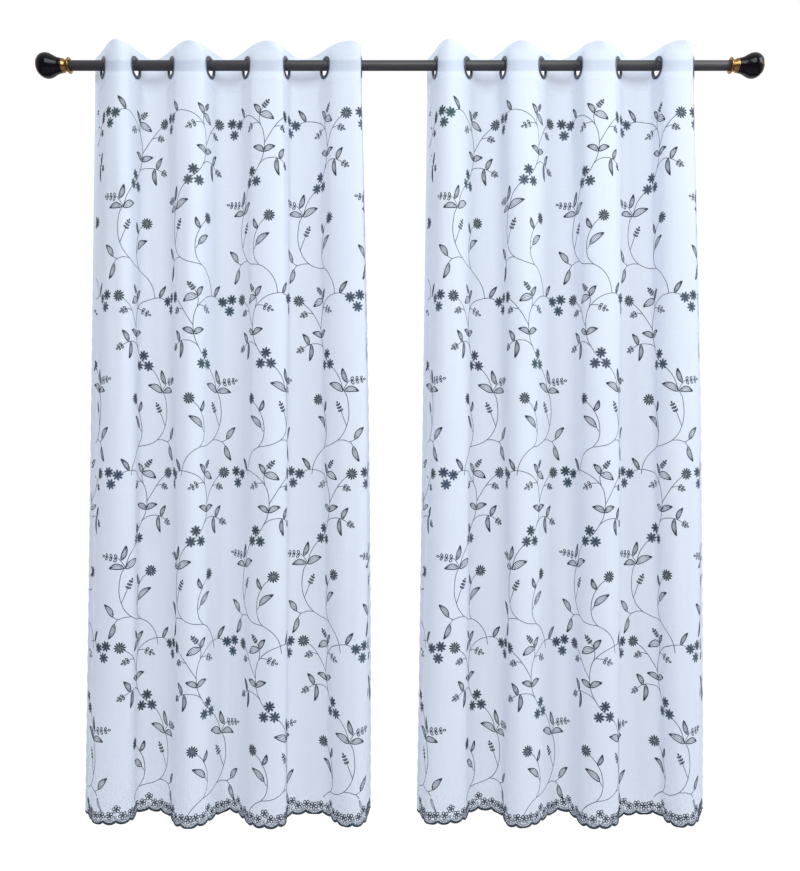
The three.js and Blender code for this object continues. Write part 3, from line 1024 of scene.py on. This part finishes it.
def chartBlooms():
    work = ThreadWork()
    for k, centre in enumerate(sprig["stars"]):
        turn = stitch["starTurn"] + stitch["starTurnStep"] * k
        shade = stitch["starShades"][k % len(stitch["starShades"])]
        starStitches(work, centre, turn, dyes["petal"] * shade)
    for k, centre in enumerate(sprig["daisies"]):
        daisyStitches(work, centre, stitch["daisyTurn"] + k, dyes["blue"] if k else dyes["teal"])
    for base, tip, pairs, length in sprig["ferns"]:
        fernStitches(work, base, tip, pairs, length, dyes["slate"])
    return work.gathered()


def repeatChart(chart, side, name, seed):
    flat, lift, uv, dye, owner, faces = chart
    draw = np.random.default_rng(seed)
    left, top = sprig["clearOfSide"], voileTop + sprig["clearOfHeading"]
    right = cloth["width"] - left
    gathered = [[], [], [], [], []]
    count = 0
    for first, rowDrop, hand in sprig["rows"]:
        for column in range(*sprig["columns"]):
            middle = first + sprig["repeat"] * column
            across = (middle + hand * flat[:, 0]) / 1000
            down = (rowDrop + flat[:, 1]) / 1000
            inside = (across > left) & (across < right) & (down > top)
            inside &= down < hemDrop(np.clip(across, 0, cloth["width"])) - sprig["clearOfHem"]
            lost = np.zeros(owner[-1] + 1, dtype=bool)
            lost[owner[~inside]] = True
            keep = ~lost[owner]
            drift = draw.uniform(*sprig["hueDrift"], 3) * draw.uniform(*sprig["shadeDrift"])
            if not keep.any():
                continue
            number = np.cumsum(keep) - 1 + count
            kept = number[faces[keep[faces[:, 0]]]]
            places = np.stack([across, down], 1)[keep]
            parts = (places, lift[keep] / 1000, uv[keep] / 1000, dye[keep] * drift, kept[:, ::hand])
            for store, part in zip(gathered, parts):
                store.append(part)
            count += int(keep.sum())
    places, lifts, uvs, dyed, joined = [np.concatenate(part) for part in gathered]
    return threadPiece(name + side.title(), panels[side], places, lifts, uvs, dyed, joined)


# Hem border: a satin cord along the scallops, open flowers above it and small rings between
border = {
    "cordHalf": 3.4, "cordRise": 1.6, "cordInset": 1.4,
    "flowersAt": (18, 41, 61, 81, 104), "flowerRise": 21.0, "follow": 0.6, "raisedRise": 33.0,
    "petals": 5, "petalReach": 7.2, "petalRadius": 4.0, "petalHalf": 1.15, "petalWidth": 0.9,
    "petalSteps": 8, "heartRadius": 1.5, "heartSteps": 6, "flowerFromSide": 12.0,
    "shiftAcross": 1.0, "shiftDown": 1.5, "turnUpTo": 6.0,
    # rows of rings: height over the hem, and how many a repeat
    "rings": ((8.8, 17), (15.5, 12)),
    "ringRadius": 2.6, "ringHalf": 0.8, "ringSteps": 8, "ringShift": 0.8, "ringFromSide": 5.0,
    "ringClear": 11.5,
}


def flowerStitches(work, centre, turn, dye):
    reach, radius, half = border["petalReach"], border["petalRadius"], border["petalHalf"]
    for k in range(border["petals"]):
        angle = turn + 2 * math.pi * k / border["petals"]
        spot = (centre[0] + reach * math.cos(angle), centre[1] + reach * math.sin(angle))
        petal = loopRoute(spot, radius, radius * border["petalWidth"], angle, border["petalSteps"])
        work.ribbon(petal, half, stitch["rise"], dye, loop=True)
    heart = loopRoute(centre, border["heartRadius"], border["heartRadius"], turn, border["heartSteps"])
    work.ribbon(heart, half, stitch["rise"], dye, loop=True)


def buildBorder(side, seed):
    work = ThreadWork()
    draw = np.random.default_rng(seed)
    across = voileColumns()[1:-1]
    cord = np.stack([across, hemDrop(across) - border["cordInset"] / 1000], 1) * 1000
    work.ribbon(cord, border["cordHalf"], border["cordRise"], dyes["cord"])
    width, level = cloth["width"] * 1000, cuspDrop * 1000

    def hemUnder(at):
        return hemDrop(np.array([at / 1000]))[0] * 1000

    flowers = []
    for raised in (cusps[1 :: len(scallop["widths"])] * 1000).tolist():
        spots = [(raised, level - border["raisedRise"])]
        for at in border["flowersAt"]:
            at = at + raised
            if at < width:
                sag = border["follow"] * (hemUnder(at) - level)
                spots.append((at, level - border["flowerRise"] + sag))
        for at, down in spots:
            shift = draw.uniform(-border["shiftAcross"], border["shiftAcross"])
            sink = draw.uniform(-border["shiftDown"], border["shiftDown"])
            place = (at + shift, down + sink)
            turn = draw.uniform(0, border["turnUpTo"])
            if border["flowerFromSide"] < at < width - border["flowerFromSide"]:
                flowerStitches(work, place, turn, dyes["slate"])
                flowers.append(place)
    flowers = np.array(flowers)
    for rise, perRepeat in border["rings"]:
        spacing = repeatWidth * 1000 / perRepeat
        for at in np.arange(spacing / 2, width - border["ringFromSide"], spacing):
            shift = draw.uniform(-border["ringShift"], border["ringShift"])
            spot = np.array([at, hemUnder(at) - rise + shift])
            nearest = np.linalg.norm(flowers - spot, axis=1).min()
            if at > border["ringFromSide"] and border["ringClear"] < nearest < 2 * border["ringClear"]:
                route = loopRoute(spot, border["ringRadius"], border["ringRadius"], 0, border["ringSteps"])
                work.ribbon(route, border["ringHalf"], stitch["rise"], dyes["pale"], loop=True)
    flat, lift, uv, dye, _, faces = work.gathered()
    places, lifts, uvs = flat / 1000, lift / 1000, uv / 1000
    return threadPiece("border" + side.title(), panels[side], places, lifts, uvs, dye, faces)


def buildStitching(side):
    work = ThreadWork()
    for down in stitching["rows"]:
        last = cloth["width"] - stitching["endGap"]
        for start in np.arange(stitching["from"], last, stitching["pitch"]):
            middle, end = start + stitching["length"] / 2, start + stitching["length"]
            route = [(start, down), (middle, down), (end, down)]
            work.ribbon(route, stitching["halfWidths"], stitching["rise"], dyes["white"])
    flat, lift, uv, dye, _, faces = work.gathered()
    face = heading["thickness"] / 2
    lift = np.where(lift > 0, face + stitching["rise"], face - stitching["rise"] / 2)
    return threadPiece("topStitch" + side.title(), panels[side], flat, lift, flat, dye, faces, "flat")


# Eyelet: one ring with a groove round it for the heading, copied to every hole
eyeletRing = {
    # millimetres along the axis, and radius
    "section": [
        (1.2, 21.0), (2.5, 21.4), (3.2, 22.7), (2.9, 28.6), (2.3, 29.6), (1.5, 30.0), (1.5, 23.5),
        (-1.5, 23.5), (-1.5, 30.0), (-2.3, 29.6), (-2.9, 28.6), (-3.2, 22.7), (-2.5, 21.4), (-1.2, 21.0),
    ],
    "sides": 56,
    "rounding": 0.0002,  # metres
}


def buildEyelets():
    stations = [(reach / 1000, radius / 1000) for reach, radius in eyeletRing["section"]]
    ring = soften(turnPiece("eyeletRing", stations, eyeletRing["sides"], closed=True), eyeletRing["rounding"])
    rings = {side: [] for side in panelCentre}
    for side in panelCentre:
        for i in range(eyeletPlan["count"]):
            copy = placedCopy(ring, f"eyelet{side.title()}{i + 1}", eyeletPlace(side, i))
            rings[side].append(declare(copy, "eyelet", f"eyelet_{side}_{i + 1}"))
    bpy.data.objects.remove(ring)
    return rings


rings = buildEyelets()
print("eyelets ready")
seeds = {"sprigs": 11, "border": 5}
vineChart, bloomChart = chartVines(), chartBlooms()
for side in panelCentre:
    sheet = declare(buildVoile(side), "voile", "cloth_" + side)
    strip = declare(buildHeading(side), "heading", "heading_" + side)
    vines = declare(repeatChart(vineChart, side, "vines", seeds["sprigs"]), "thread")
    blooms = declare(repeatChart(bloomChart, side, "blooms", seeds["sprigs"]), "thread")
    hem = declare(buildBorder(side, seeds["border"]), "thread")
    seams = declare(buildStitching(side), "heading")
    made = (sheet, strip, vines, blooms, hem, seams)
    print(side, "panel:", [(piece.name, len(piece.data.polygons)) for piece in made])
